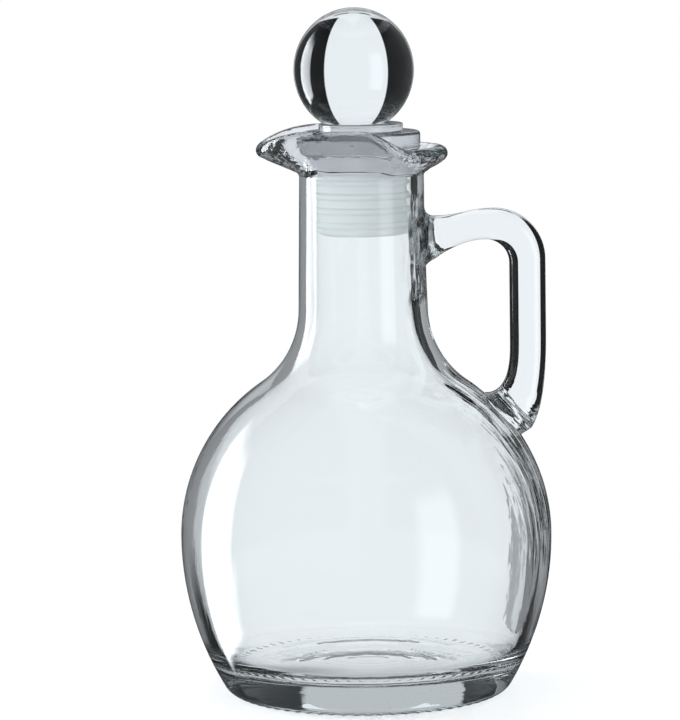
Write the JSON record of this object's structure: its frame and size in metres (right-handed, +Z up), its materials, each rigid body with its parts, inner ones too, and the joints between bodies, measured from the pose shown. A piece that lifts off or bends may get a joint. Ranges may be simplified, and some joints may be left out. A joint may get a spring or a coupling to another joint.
{
  "type": "oil dispenser bottle",
  "caption": "Clear glass oil bottle with a ball-shaped belly, a folded pouring lip, a fused glass handle and a glass ball stopper that a ribbed plastic sleeve seals in the neck.",
  "frame": {"origin": "centre of the flat ring that the bottle stands on", "axes": "+Z up along the bottle's axis, +X towards the handle, -X towards the pouring spout"},
  "size_m": [0.102, 0.102, 0.1883],
  "materials": {
    "vessel_glass": "clear polished soda-lime glass",
    "handle_glass": "clear polished soda-lime glass",
    "stopper_glass": "clear polished glass, solid",
    "sleeve_plastic": "milky translucent polyethylene, satin"
  },
  "bodies": {
    "bottle": {"bottle": "vessel_glass", "handle": "handle_glass"},
    "seal": {"sealing_sleeve": "sleeve_plastic"},
    "stopper": {"stopper_plug": "stopper_glass", "stopper_ball": "stopper_glass"}
  },
  "joints": [
    {"name": "stopper_lift", "type": "slide", "parent": "bottle", "child": "seal", "axis": [0, 0, 1], "range_m": [0, 0.07]},
    {"name": "stopper_turn", "type": "hinge", "parent": "seal", "child": "stopper", "pos_m": [0, 0, 0.15], "axis": [0, 0, 1], "continuous": true}
  ]
}
